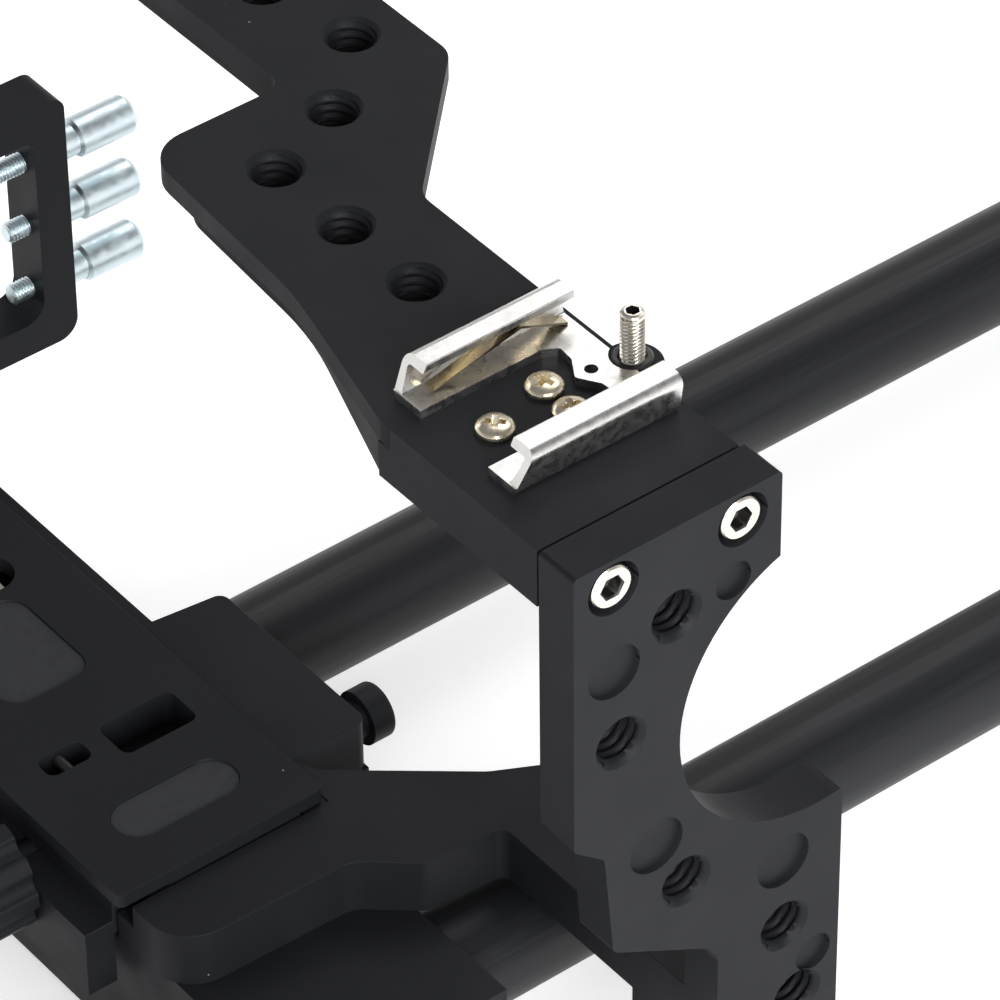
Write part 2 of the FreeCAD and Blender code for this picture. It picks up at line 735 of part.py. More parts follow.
def rod_shoe(side):
    """Soft tip between a clamp screw and its rod."""
    x = side * (rod_x + rod_diameter / 2)
    pad = cylinder(2.3, (x + side * 1.3, clamp_screw_y, rod_axis_height), (-side, 0, 0), 2.2)
    start = (side * rod_x, block_rear, rod_axis_height)
    length = block_front - block_rear
    return pad.cut(cylinder(rod_diameter / 2 + rod_running_gap, start, (0, 1, 0), length))


def block_screws():
    return [cap_screw((x, y, block_screw_seat), (0, 0, -1), block_screw_length, block_screw,
                      block_head, 2.2, 2.5) for x, y in block_screw_places]


def foot_strips():
    """Soft strips under the block: a rear pair beside the bush, one in the middle, one under the tongue."""
    half = block_half - foot_strip_end
    rear = block_rear + foot_strip_inset
    front = block_front - foot_strip_inset
    inner = bush_radius + foot_strip_inset
    return [
        box(-half, -inner, rear, rear + foot_strip_width, 0.0, block_bottom),
        box(inner, half, rear, rear + foot_strip_width, 0.0, block_bottom),
        box(-half, half, front - foot_strip_broad, front, 0.0, block_bottom),
        box(tongue_left + foot_strip_inset, tongue_right - foot_strip_inset,
            tongue_front - foot_strip_inset - foot_strip_width, tongue_front - foot_strip_inset,
            0.0, block_bottom),
    ]


# cable frame at the left end of the arm
def cable_frame():
    z0 = arm_top
    z1 = arm_top + frame_height
    left = frame_outer_x - frame_thickness
    outline = [(frame_rear, z0, 1.0), (frame_front, z0, 3.0), (frame_front, z1, 2.0), (frame_rear, z1, 3.0)]
    body = upright(outline, left, frame_outer_x)
    y0 = frame_rear + frame_post
    window = upright([(y0, z0 + frame_bar, 3.0), (frame_front - frame_bar, z0 + frame_bar, 3.0),
                      (frame_front - frame_bar, z1 - frame_bar, 1.5), (y0, z1 - frame_bar, 3.0)],
                     left - 1, frame_outer_x + 1)
    lower = upright([(frame_rear + 4.0, z0 + 12.0, 2.5), (y0 - 4.0, z0 + 12.0, 2.5),
                     (y0 - 4.0, z1 - 8.0, 2.5), (frame_rear + 4.0, z1 - 8.0, 2.5)], left - 1, frame_outer_x + 1)
    body = body.cut(window).cut(lower)
    for k in range(3):
        start = (frame_middle_x, frame_front + 1, cable_screw_z(k))
        body = body.cut(cylinder(m3_diameter / 2, start, (0, -1, 0), frame_bar + 2))
    for y in frame_screw_places:
        seat = (frame_middle_x, y, frame_screw_seat)
        body = body.cut(cylinder(m3_head / 2 + head_clearance, seat, (0, 0, 1), 10.7))
        body = body.cut(cylinder(m3_diameter / 2 + screw_bore_gap, (frame_middle_x, y, z0), (0, 0, 1), 12))
    return body


def cable_screw_z(k):
    return arm_top + cable_screw_lowest + cable_screw_pitch * k


def cable_screw(k):
    z = cable_screw_z(k)
    start = (frame_middle_x, frame_front + 0.8, z)
    neck = cylinder(2.2, start, (0, 1, 0), cable_neck_length)
    head_start = (frame_middle_x, start[1] + cable_neck_length, z)
    head = cylinder(cable_knob_diameter / 2, head_start, (0, 1, 0), cable_knob_length)
    ends = [e for e in head.Edges if e.BoundBox.YLength < 1e-6]
    head = head.makeChamfer(0.5, ends)
    shank = cylinder(m3_diameter / 2 - 0.03, start, (0, -1, 0), frame_bar + 3.8 + 2.0 * (k == 2))
    return neck.fuse(head).fuse(shank)


def frame_screws():
    return [cap_screw((frame_middle_x, y, frame_screw_seat), (0, 0, -1), 8.6) for y in frame_screw_places]


os.makedirs("parts", exist_ok=True)
export("top_plate", top_plate())
export("side_plate", side_plate())
export("upper_cap_screws", *side_screws([(y, upper_screw_z) for y in upper_screw_y]))
export("lower_cap_screws", *side_screws([(y, lower_screw_z) for y in lower_screw_y]))
export("shoe_channel", shoe_channel())
export("shoe_leaf_spring", shoe_leaf_spring())
export("shoe_screws", *shoe_screws())
export("stop_boss", stop_boss())
export("stop_screw", stop_screw())
export("bottom_arm", bottom_arm())
export("quick_plate", quick_plate())
export("plate_pads", *plate_pads())
export("slot_bar", slot_bar())
export("screw_washer", screw_washer())
export("camera_screw", camera_screw())
export("clamp_jaw", clamp_jaw())
export("jaw_guide_pins", *jaw_guide_pins())
export("jaw_knob", jaw_knob())
export("release_button", release_button())
export("release_spring", release_spring())
export("clamp_block", clamp_block())
export("tripod_bush", tripod_bush())
for side, word in ((-1, "left"), (1, "right")):
    export(word + "_rod", rod(side))
    export(word + "_rod_caps", *rod_caps(side))
    export(word + "_rod_knob", rod_knob(side))
    export(word + "_rod_shoe", rod_shoe(side))
export("block_screws", *block_screws())
export("foot_strips", *foot_strips())
export("cable_frame", cable_frame())
for k in range(3):
    export("cable_screw_" + str(k + 1), cable_screw(k))
export("frame_screws", *frame_screws())
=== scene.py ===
import bpy
import bmesh
import json
import math
import numpy as np
from mathutils import Matrix, Vector


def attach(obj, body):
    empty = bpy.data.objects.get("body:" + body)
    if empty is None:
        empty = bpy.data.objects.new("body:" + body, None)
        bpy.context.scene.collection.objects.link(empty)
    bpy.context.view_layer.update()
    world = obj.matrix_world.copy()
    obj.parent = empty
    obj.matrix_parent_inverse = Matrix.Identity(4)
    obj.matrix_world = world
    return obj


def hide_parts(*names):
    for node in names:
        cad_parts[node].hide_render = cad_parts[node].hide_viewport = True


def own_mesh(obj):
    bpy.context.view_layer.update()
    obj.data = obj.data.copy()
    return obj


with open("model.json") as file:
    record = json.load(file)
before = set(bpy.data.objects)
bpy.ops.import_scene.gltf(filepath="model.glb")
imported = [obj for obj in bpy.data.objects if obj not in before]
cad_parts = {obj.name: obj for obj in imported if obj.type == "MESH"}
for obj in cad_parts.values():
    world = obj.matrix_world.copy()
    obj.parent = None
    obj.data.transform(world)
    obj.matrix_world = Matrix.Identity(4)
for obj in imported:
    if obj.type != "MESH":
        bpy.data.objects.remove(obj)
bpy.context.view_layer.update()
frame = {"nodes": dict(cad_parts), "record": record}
nodes = frame["nodes"]
bodyOf = {n: b for b, names in frame["record"]["behaviour"]["bodies"].items() for n in names}
mm = 0.001
print("frame loaded:", len(nodes), "nodes")


# small helpers

def linear(hexColour):  # sRGB hex value to linear colour
    parts = [int(hexColour[i:i + 2], 16) / 255 for i in (1, 3, 5)]
    return tuple(p / 12.92 if p <= 0.04045 else ((p + 0.055) / 1.055) ** 2.4 for p in parts) + (1.0,)


def addNode(tree, kind, settings=None, links=None):
    # settings holds properties or input values; links holds the output that feeds each input
    node = tree.nodes.new(kind)
    for key, value in (settings or {}).items():
        if isinstance(key, str) and hasattr(node, key):
            setattr(node, key, value)
        else:
            node.inputs[key].default_value = value
    for key, socket in (links or {}).items():
        tree.links.new(socket, node.inputs[key])
    return node


def newMaterial(name):
    material = bpy.data.materials.new(name)
    material.use_nodes = True
    tree = material.node_tree
    place = addNode(tree, "ShaderNodeTexCoord").outputs["Object"]
    return material, tree, tree.nodes["Principled BSDF"], place


def patch(tree, place, size, detail=3.0, roughness=0.5):  # noise whose blotches are about size millimetres
    settings = {"Scale": 1000 / size, "Detail": detail, "Roughness": roughness}
    return addNode(tree, "ShaderNodeTexNoise", settings, {"Vector": place}).outputs["Fac"]


def spread(tree, value, low, high, toLow, toHigh):  # maps a value's range low..high to toLow..toHigh
    ends = {"From Min": low, "From Max": high, "To Min": toLow, "To Max": toHigh}
    return addNode(tree, "ShaderNodeMapRange", ends, {"Value": value}).outputs["Result"]


def twoTone(tree, factor, dark, pale):
    mix = addNode(tree, "ShaderNodeMix", {"data_type": "RGBA"})
    mix.inputs[6].default_value = linear(dark)
    mix.inputs[7].default_value = linear(pale)
    tree.links.new(factor, mix.inputs[0])
    return mix.outputs[2]


def dust(tree, place, cell, radius, share):  # round specks of radius mm, in a share of the cells of cell mm
    cells = addNode(tree, "ShaderNodeTexVoronoi", {"Scale": 1000 / cell}, {"Vector": place})
    near = addNode(tree, "ShaderNodeMath", {"operation": "LESS_THAN", 1: radius / cell},
                   {0: cells.outputs["Distance"]})
    pick = addNode(tree, "ShaderNodeSeparateColor", {}, {"Color": cells.outputs["Color"]})
    chosen = addNode(tree, "ShaderNodeMath", {"operation": "LESS_THAN", 1: share}, {0: pick.outputs["Red"]})
    return addNode(tree, "ShaderNodeMath", {"operation": "MULTIPLY"},
                   {0: near.outputs[0], 1: chosen.outputs[0]}).outputs[0]


def relief(tree, height, depth):  # depth in mm
    return addNode(tree, "ShaderNodeBump", {"Strength": 1.0, "Distance": depth * mm},
                   {"Height": height}).outputs["Normal"]


# materials, each named for what the real one is; the chamfer material is named for its painted highlight

# the two edge colours are painted highlight for the chamfers; the rest is the anodised plate's own tone, gloss
# and dust
anodised = {"dark": "#18191c", "pale": "#1f2024", "edge": "#8e8f94", "dimEdgeHighlight": "#606166",
            "roughness": 0.5, "gloss": 0.14, "dust": "#8d8e92"}


def blackAnodisedAluminium():
    # Milled aluminium, glass-bead blasted and dyed black: a soft even sheen with no streaks,
    # a grain of 0.1 mm beads drawn at 0.3 mm so that it shows, and dust that has settled on it.
    material, tree, shader, place = newMaterial("blackAnodisedAluminium")
    tone = twoTone(tree, patch(tree, place, 18.0), anodised["dark"], anodised["pale"])
    specks = dust(tree, place, 5.0, 0.12, 0.22)
    colour = addNode(tree, "ShaderNodeMix", {"data_type": "RGBA"})
    colour.inputs[7].default_value = linear(anodised["dust"])
    tree.links.new(specks, colour.inputs[0])
    tree.links.new(tone, colour.inputs[6])
    tree.links.new(colour.outputs[2], shader.inputs["Base Color"])
    rough = spread(tree, patch(tree, place, 9.0, 4.0), 0.3, 0.7, anodised["roughness"] - 0.05,
                   anodised["roughness"] + 0.07)
    tree.links.new(rough, shader.inputs["Roughness"])
    tree.links.new(relief(tree, patch(tree, place, 0.3, 2.0), 0.012), shader.inputs["Normal"])
    shader.inputs["Specular IOR Level"].default_value = anodised["gloss"]
    return material


def paintedHighlightChamfer():
    # The narrow chamfers are smoother than the blasted faces, and their pale grey colour is a painted
    # highlight: a thin light line along each edge.
    material, tree, shader, place = newMaterial("anodisedChamferPaintedHighlight")
    tone = twoTone(tree, patch(tree, place, 3.0), anodised["dimEdgeHighlight"], anodised["edge"])
    tree.links.new(tone, shader.inputs["Base Color"])
    tree.links.new(spread(tree, patch(tree, place, 1.0), 0.3, 0.7, 0.3, 0.42), shader.inputs["Roughness"])
    shader.inputs["Specular IOR Level"].default_value = 0.5
    return material


def blackDrawnTube():
    # Drawn and polished tube, dyed black: smoother than the plates, with a long soft highlight
    # broken by draw lines 0.4 mm apart that run along it.
    material, tree, shader, place = newMaterial("blackDrawnTube")
    drawn = addNode(tree, "ShaderNodeMapping", {"Scale": (1.0, 0.02, 1.0)}, {"Vector": place})
    stretched = drawn.outputs["Vector"]
    lines = patch(tree, stretched, 0.4, 2.0)
    tone = twoTone(tree, patch(tree, place, 25.0), "#141517", "#1a1b1e")
    tree.links.new(tone, shader.inputs["Base Color"])
    tree.links.new(spread(tree, lines, 0.3, 0.7, 0.38, 0.5), shader.inputs["Roughness"])
    tree.links.new(relief(tree, lines, 0.004), shader.inputs["Normal"])
    shader.inputs["Specular IOR Level"].default_value = 0.3
    return material


def nickelPlate(name, dark, pale, roughness):
    # Bright nickel or zinc over stamped or turned steel: a soft mirror with a haze that comes and
    # goes over 1.2 mm and shallow ripples 0.9 mm across.
    material, tree, shader, place = newMaterial(name)
    tree.links.new(twoTone(tree, patch(tree, place, 4.0), dark, pale), shader.inputs["Base Color"])
    tree.links.new(spread(tree, patch(tree, place, 1.2, 4.0), 0.3, 0.7, roughness * 0.8, roughness * 1.4),
                   shader.inputs["Roughness"])
    tree.links.new(relief(tree, patch(tree, place, 0.9, 2.0), 0.006), shader.inputs["Normal"])
    shader.inputs["Metallic"].default_value = 1.0
    return material


def blackOxideSteel():
    # Hot-blackened machine steel: dark brownish black with an oily sheen.
    material, tree, shader, place = newMaterial("blackOxideSteel")
    tone = twoTone(tree, patch(tree, place, 2.0), "#171615", "#232120")
    tree.links.new(tone, shader.inputs["Base Color"])
    tree.links.new(spread(tree, patch(tree, place, 0.8), 0.3, 0.7, 0.28, 0.45), shader.inputs["Roughness"])
    return material


def siliconeRubber(name, dark, pale, grain):
    # Moulded rubber: no mirror at all, a fine pebble of grain millimetres.
    material, tree, shader, place = newMaterial(name)
    tree.links.new(twoTone(tree, patch(tree, place, 5.0), dark, pale), shader.inputs["Base Color"])
    tree.links.new(spread(tree, patch(tree, place, 1.5), 0.3, 0.7, 0.62, 0.8), shader.inputs["Roughness"])
    tree.links.new(relief(tree, patch(tree, place, grain, 2.0), 0.02), shader.inputs["Normal"])
    shader.inputs["Specular IOR Level"].default_value = 0.3
    return material


def turnedBrass():
    # Turned brass: warm yellow metal with fine tool rings.
    material, tree, shader, place = newMaterial("turnedBrass")
    settings = {"wave_type": "RINGS", "rings_direction": "Z", "Scale": 300.0, "Distortion": 0.4}
    rings = addNode(tree, "ShaderNodeTexWave", settings, {"Vector": place}).outputs["Fac"]
    tone = twoTone(tree, patch(tree, place, 2.0), "#b08d4a", "#c9a864")
    tree.links.new(tone, shader.inputs["Base Color"])
    tree.links.new(spread(tree, rings, 0.0, 1.0, 0.25, 0.38), shader.inputs["Roughness"])
    shader.inputs["Metallic"].default_value = 1.0
    return material


def mouldedNylon(name, dark, pale):
    # Moulded nylon or ABS: satin, slightly cloudy.
    material, tree, shader, place = newMaterial(name)
    tree.links.new(twoTone(tree, patch(tree, place, 3.0), dark, pale), shader.inputs["Base Color"])
    tree.links.new(spread(tree, patch(tree, place, 1.0), 0.3, 0.7, 0.4, 0.55), shader.inputs["Roughness"])
    tree.links.new(relief(tree, patch(tree, place, 0.4, 2.0), 0.006), shader.inputs["Normal"])
    return material


aluminium = blackAnodisedAluminium()
chamfer = paintedHighlightChamfer()
tube = blackDrawnTube()
shoeNickel = nickelPlate("nickelPlatedSheet", "#d6d4d1", "#e8e6e3", 0.27)
screwNickel = nickelPlate("nickelPlatedScrew", "#dfd9cb", "#efeade", 0.24)
warmScrew = nickelPlate("nickelPlatedPanScrew", "#e2d6bd", "#f2e8d2", 0.26)
zincScrew = nickelPlate("zincPlatedScrew", "#cfe0e6", "#e4eff2", 0.36)
springSteel = nickelPlate("springSteelStrip", "#b7a98c", "#cfc4ab", 0.16)
oxideAndSocketShade = blackOxideSteel()
padRubber = siliconeRubber("padRubber", "#2a2b2e", "#323337", 0.35)
footRubber = siliconeRubber("footRubber", "#151516", "#1c1c1d", 0.6)
brass = turnedBrass()
nylon = mouldedNylon("whiteNylon", "#d6d4cc", "#e4e2da")
plugPlastic = mouldedNylon("blackPlugPlastic", "#131314", "#1b1b1c")
print("materials made")


# numpy surfaces

def gridFaces(rows, columns, wrapRows=False, wrapColumns=False):  # quads of a rows x columns grid of points
    r = np.arange(rows if wrapRows else rows - 1)
    c = np.arange(columns if wrapColumns else columns - 1)
    r, c = [g.ravel() for g in np.meshgrid(r, c, indexing="ij")]
    r2, c2 = (r + 1) % rows, (c + 1) % columns
    return np.stack([r * columns + c, r * columns + c2, r2 * columns + c2, r2 * columns + c], axis=1)


def meshFrom(name, points, faces, extraFaces=()):
    mesh = bpy.data.meshes.new(name)
    mesh.from_pydata(points.tolist(), [], faces.tolist() + [list(f) for f in extraFaces])
    mesh.update()
    return mesh


def turned(name, radii, heights, centre, axis, around=48):
    # Solid of rotation. A point is centre + height * axis + radius * (cos a, sin a) across it;
    # radii may be a rows x around array, so that a thread or a knurl can ride on the profile.
    axis = np.array(axis, float)
    side = np.cross(axis, (0.0, 0.0, 1.0) if abs(axis[2]) < 0.9 else (1.0, 0.0, 0.0))
    side /= np.linalg.norm(side)
    across = np.cross(axis, side)
    heights = np.asarray(heights, float)
    heights = heights if heights.ndim == 2 else np.repeat(heights[:, None], around, 1)
    radii = np.asarray(radii, float)
    radii = radii if radii.ndim == 2 else np.repeat(radii[:, None], around, 1)
    a = np.linspace(0, 2 * math.pi, around, endpoint=False)[None, :, None]
    points = (np.array(centre, float) + heights[..., None] * axis
              + radii[..., None] * (np.cos(a) * side + np.sin(a) * across))
    rows = len(radii)
    ends = [list(range(around))[::-1], [(rows - 1) * around + k for k in range(around)]]
    return meshFrom(name, points.reshape(-1, 3) * mm, gridFaces(rows, around, wrapColumns=True), ends)


def threadRadii(heights, around, crest, root, pitch):
    # Screw thread: the radius rises and falls as a blunt triangle of height / pitch less the turn's share.
    a = np.arange(around) / around
    phase = np.mod(heights[:, None] / pitch - a[None, :], 1.0)
    ridge = np.clip(np.abs(phase - 0.5) * 2.6 - 0.3, 0.0, 1.0)
    return root + (crest - root) * ridge


def cleanMesh(bm):
    bmesh.ops.remove_doubles(bm, verts=bm.verts, dist=2e-6)
    bmesh.ops.dissolve_degenerate(bm, dist=1e-6, edges=bm.edges)
    bmesh.ops.dissolve_limit(bm, angle_limit=math.radians(0.6), verts=bm.verts, edges=bm.edges)


def evaluated(obj):
    return bpy.data.meshes.new_from_object(obj.evaluated_get(bpy.context.evaluated_depsgraph_get()))


def finishPiece(name, mesh, body, materials, standsFor=(), sharpFrom=28.0):
    # Flat where a face is level or upright, smooth elsewhere up to the angle sharpFrom.
    mesh.materials.clear()
    for m in materials:
        mesh.materials.append(m)
    mesh.shade_smooth()
    mesh.set_sharp_from_angle(angle=math.radians(sharpFrom))
    for face in mesh.polygons:
        if max(abs(c) for c in face.normal) > 0.9999:
            face.use_smooth = False
    obj = bpy.data.objects.new(name, mesh)
    bpy.context.scene.collection.objects.link(obj)
    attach(obj, body)
    if standsFor:
        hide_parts(*standsFor)
    return obj


def joinMeshes(meshes):  # one mesh of all, with every face turned outward
    bm = bmesh.new()
    for mesh in meshes:
        bm.from_mesh(mesh)
    bmesh.ops.recalc_face_normals(bm, faces=bm.faces)
    joined = bpy.data.meshes.new("joined")
    bm.to_mesh(joined)
    bm.free()
    return joined


def workObject(name, mesh):  # an object that is only worked on, and removed by the caller
    obj = bpy.data.objects.new(name, mesh)
    bpy.context.scene.collection.objects.link(obj)
    return obj


def cutAway(work, tool):
    boolean = work.modifiers.new("cut", "BOOLEAN")
    boolean.operation = "DIFFERENCE"
    boolean.solver = "EXACT"
    boolean.object = tool


def cutMesh(mesh, tool):
    work, other = workObject("work", mesh), workObject("tool", tool)
    cutAway(work, other)
    result = evaluated(work)
    bpy.data.objects.remove(work)
    bpy.data.objects.remove(other)
    return result


def threadTools(holes, cut):  # one mesh of threaded cutters, each hole a (mouth, axis, depth)
    parts = []
    for mouth, axis, depth in holes:
        heights = np.arange(-cut["over"], depth + cut["over"], cut["pitch"] / cut["rowsPerTurn"])
        radii = threadRadii(heights, cut["around"], cut["major"], cut["minor"], cut["pitch"])
        parts.append(turned("tool", radii, heights, mouth, axis, cut["around"]))
    return joinMeshes(parts)


chamferFrom = 32.0


def dressNode(name, width, materials, holes=(), cut=None):
    # The node's own mesh, merged, with its sharp edges chamfered and its tapped holes given a real thread.
    bm = bmesh.new()
    bm.from_mesh(nodes[name].data)
    cleanMesh(bm)
    mesh = bpy.data.meshes.new(name)
    bm.to_mesh(mesh)
    bm.free()
    mesh.materials.clear()
    mesh.materials.append(materials[0])
    mesh.materials.append(materials[-1])
    work = workObject(name + "Work", mesh)
    if width:
        bevel = work.modifiers.new("chamfer", "BEVEL")
        bevel.width = width * mm
        bevel.segments = 1
        bevel.limit_method = "ANGLE"
        bevel.angle_limit = math.radians(chamferFrom)
        bevel.use_clamp_overlap = True
        # the chamfer faces take the second material, which for plates and knobs is the painted edge highlight
        bevel.material = 1
    tools = None
    if holes:
        tools = workObject(name + "Tools", threadTools(holes, cut))
        cutAway(work, tools)
    result = evaluated(work)
    bpy.data.objects.remove(work)
    if tools:
        bpy.data.objects.remove(tools)
    return finishPiece(name + "_dressed", result, bodyOf[name], materials, (name,))


# plates with their threads

quarterInch = {"pitch": 1.27, "minor": 2.7, "major": 3.15, "around": 32, "rowsPerTurn": 6, "over": 1.0}
topFace = 111.4
topThick = 8.0
sideFace = 72.0
sideThick = 6.0
topHoles = [(21.3, 17.9), (8.2, 17.9), (-5.2, 18.0), (-10.1, 30.0), (-20.2, 40.2)]
topHoles += [(-20.2 - 14.0 * k, 37.7) for k in (1, 2, 3)]
sideHoles = [(14.3, 98.5), (6.6, 84.2), (16.1, 57.5), (30.9, 41.4), (33.1, 29.0)]
# chamfer widths in mm
plates = {"top_plate": 0.35, "side_plate": 0.35, "bottom_arm": 0.3, "quick_plate": 0.3, "clamp_block": 0.35,
          "cable_frame": 0.3, "clamp_jaw": 0.3}
for name, width in plates.items():
    holes = []
    if name == "top_plate":
        holes = [((x, y, topFace), (0, 0, -1), topThick) for x, y in topHoles]
    if name == "side_plate":
        holes = [((sideFace, y, z), (-1, 0, 0), sideThick) for y, z in sideHoles]
    dressNode(name, width, [aluminium, chamfer], holes, quarterInch)
    print("plate dressed:", name)

knobs = {"jaw_knob": 0.3, "release_button": 0.0, "left_rod_knob": 0.3, "right_rod_knob": 0.3}
for name, width in knobs.items():
    dressNode(name, width, [aluminium, chamfer])

# sheet and cap screws: the same mesh with its edges softly broken
broken = {
    "shoe_channel": (0.1, shoeNickel, "nickel_sheet"),
    "upper_cap_screws": (0.22, screwNickel, "nickel_screw"),
    "lower_cap_screws": (0.22, screwNickel, "nickel_screw"),
    "block_screws": (0.2, oxideAndSocketShade, "black_steel"),
    "frame_screws": (0.2, oxideAndSocketShade, "black_steel"),
    "stop_boss": (0.2, oxideAndSocketShade, "black_steel"),
}
for name, (width, material, slotName) in broken.items():
    dressNode(name, width, [material, material])
print("knobs, sheet and cap screws dressed")


def paintSocketShade(obj, middle, along, reach, start, end):
    # Faces within reach of the screw's axis, between start and end along it, take the second material: painted
    # shade that darkens the socket.
    for face in obj.data.polygons:
        c = np.array(face.center) / mm
        away = [c[i] - middle[i] for i in range(3) if i != along]
        if start < c[along] < end and math.hypot(*away) < reach:
            face.material_index = 1


capSocket = {"reach": 1.6, "floor": 69.8, "rim": 71.74}
socketAxes = {  # (y, z) of each screw
    "upper_cap_screws": [(5.5, 107.3), (23.5, 107.3)],
    "lower_cap_screws": [(27.0, 18.9), (35.0, 18.9)],
}
for name, places in socketAxes.items():
    piece = bpy.data.objects[name + "_dressed"]
    # the black oxide material in the sockets is painted shade, where the nickel screw's socket lies in shadow
    piece.data.materials[1] = oxideAndSocketShade
    for face in piece.data.polygons:
        face.material_index = 0
    for y, z in places:
        paintSocketShade(piece, (0.0, y, z), 0, capSocket["reach"], capSocket["floor"], capSocket["rim"])


# screws with a real thread, a domed head and a recess

def ringCount(profile, step):  # fills a (height, radius) profile so that rows lie at most step apart
    rows = []
    for (h0, r0), (h1, r1) in zip(profile, profile[1:]):
        count = max(1, int(math.ceil(abs(h1 - h0) / step)))
        rows += [(h0 + (h1 - h0) * k / count, r0 + (r1 - r0) * k / count) for k in range(count)]
    return rows + [profile[-1]]


def screwMesh(spec, place):
    # Solid of rotation along the screw's axis. From threadFrom to threadTo the radius is the thread's
    # blunt triangle of height / pitch less the turn's share; elsewhere it is the (height, radius) profile.
    rows = ringCount(spec["profile"], spec["pitch"] / 6)
    heights = np.array([row[0] for row in rows])
    around = spec["around"]
    radii = np.repeat(np.array([row[1] for row in rows])[:, None], around, 1)
    thread = threadRadii(heights, around, spec["major"], spec["minor"], spec["pitch"])
    inThread = (heights > spec["threadFrom"]) & (heights < spec["threadTo"])
    radii[inThread] = np.minimum(radii, thread)[inThread]
    return turned("screw", radii, heights, place, spec["axis"], around)


def prism(centre, axis, radius, sides, depth, over):
    # Upright prism from depth below the centre to over above it: corners at radius * (cos, sin) of equal steps.
    return turned("prism", np.full((2, sides), radius), [-depth, over], centre, axis, sides)


def bar(centre, size, turn):
    # Bar that narrows to its foot. A corner is (u * half length * narrowing, v * half width), u and v
    # being 1 or -1, turned about Z by the angle turn.
    halfLength, halfWidth = size["halfLength"], size["halfWidth"]
    c, t = math.cos(turn), math.sin(turn)
    points = []
    for h, grow in ((-size["depth"], size["footShare"]), (size["over"], 1.0)):
        for u, v in ((-1, -1), (1, -1), (1, 1), (-1, 1)):
            x, y = u * halfLength * grow, v * halfWidth
            points.append((centre[0] + c * x - t * y, centre[1] + t * x + c * y, centre[2] + h))
    ends = [[3, 2, 1, 0], [4, 5, 6, 7]]
    return meshFrom("bar", np.array(points) * mm, gridFaces(2, 4, wrapColumns=True), ends)


# each profile lists (height, radius) along the screw, in mm
m3 = {"pitch": 0.5, "major": 1.46, "minor": 1.2, "around": 32}

stopPlace = {"x": 47.5, "y": 27.9, "foot": 105.7, "tip": 118.8}
stopSocket = {"radius": 0.87, "sides": 6, "depth": 1.2, "over": 1.0, "reach": 0.8, "floor": 117.4, "rim": 118.7}
stopSpec = dict(m3, axis=(0, 0, 1), threadFrom=0.0, threadTo=12.5, profile=[
    (0.0, 1.1), (0.35, 1.46), (12.5, 1.46), (12.75, 1.44), (12.95, 1.3), (13.1, 0.95)])
x, y = stopPlace["x"], stopPlace["y"]
socketTool = prism((x, y, stopPlace["tip"]), (0, 0, 1), stopSocket["radius"], stopSocket["sides"],
                   stopSocket["depth"], stopSocket["over"])
stopMesh = cutMesh(joinMeshes([screwMesh(stopSpec, (x, y, stopPlace["foot"]))]), socketTool)
stopPiece = finishPiece("stop_screw_threaded", stopMesh, bodyOf["stop_screw"],
                        [screwNickel, oxideAndSocketShade], ("stop_screw",))
# the stop screw's socket is painted dark the same way, as painted shade
paintSocketShade(stopPiece, (x, y, 0.0), 2, stopSocket["reach"], stopSocket["floor"], stopSocket["rim"])

panSpec = dict(m3, axis=(0, 0, 1), major=1.24, minor=1.0, threadFrom=-5.0, threadTo=-0.4, profile=[
    (-5.5, 0.8), (-5.2, 1.24), (-0.01, 1.24), (0.0, 2.2), (0.3, 2.3), (0.62, 2.24), (0.9, 2.02), (1.1, 1.7),
    (1.24, 1.2), (1.3, 0.7)])
panPlaces = [(45.0, 17.5), (47.2, 8.9), (50.2, 17.2)]
crossRecess = {"halfLength": 1.5, "halfWidth": 0.4, "depth": 0.95, "footShare": 0.4, "over": 0.4}
panTurn = {"first": 0.3, "step": 0.5}  # radians: each screw stopped at its own angle
panHead = 1.3
panMeshes = []
for k, (x, y) in enumerate(panPlaces):
    mesh = joinMeshes([screwMesh(panSpec, (x, y, topFace))])
    for turn in (0.0, math.pi / 2):
        tool = bar((x, y, topFace + panHead), crossRecess, turn + panTurn["step"] * k + panTurn["first"])
        mesh = cutMesh(mesh, joinMeshes([tool]))
    panMeshes.append(mesh)
finishPiece("shoe_screws_pan", joinMeshes(panMeshes), bodyOf["shoe_screws"], [warmScrew],
            ("shoe_screws",))

quarterSpec = {"pitch": 1.27, "major": 3.08, "minor": 2.6, "around": 48, "axis": (0, 0, 1),
               "threadFrom": 5.3, "threadTo": 9.6, "profile": [
                   (0.0, 4.7), (0.25, 5.0), (1.45, 5.0), (1.6, 4.9), (1.601, 2.84),
                   (5.0, 2.84), (5.05, 2.6), (5.3, 3.08), (9.2, 3.08), (9.7, 2.6)]}
cameraFoot = (-46.0, -3.0, 26.4)
coinSlot = {"halfLength": 6.0, "halfWidth": 0.6, "below": 1.0, "depth": 0.8}
slotCorners = [(cameraFoot[0] + u * coinSlot["halfLength"], cameraFoot[1] + v * coinSlot["halfWidth"],
                cameraFoot[2] + h)
               for h in (-coinSlot["below"], coinSlot["depth"])
               for u, v in ((-1, -1), (1, -1), (1, 1), (-1, 1))]
slotTool = meshFrom("coinSlot", np.array(slotCorners) * mm, gridFaces(2, 4, wrapColumns=True),
                    [[0, 1, 2, 3], [4, 5, 6, 7]])
cameraScrew = cutMesh(joinMeshes([screwMesh(quarterSpec, cameraFoot)]), joinMeshes([slotTool]))
finishPiece("camera_screw_threaded", cameraScrew, bodyOf["camera_screw"], [screwNickel],
            ("camera_screw",))

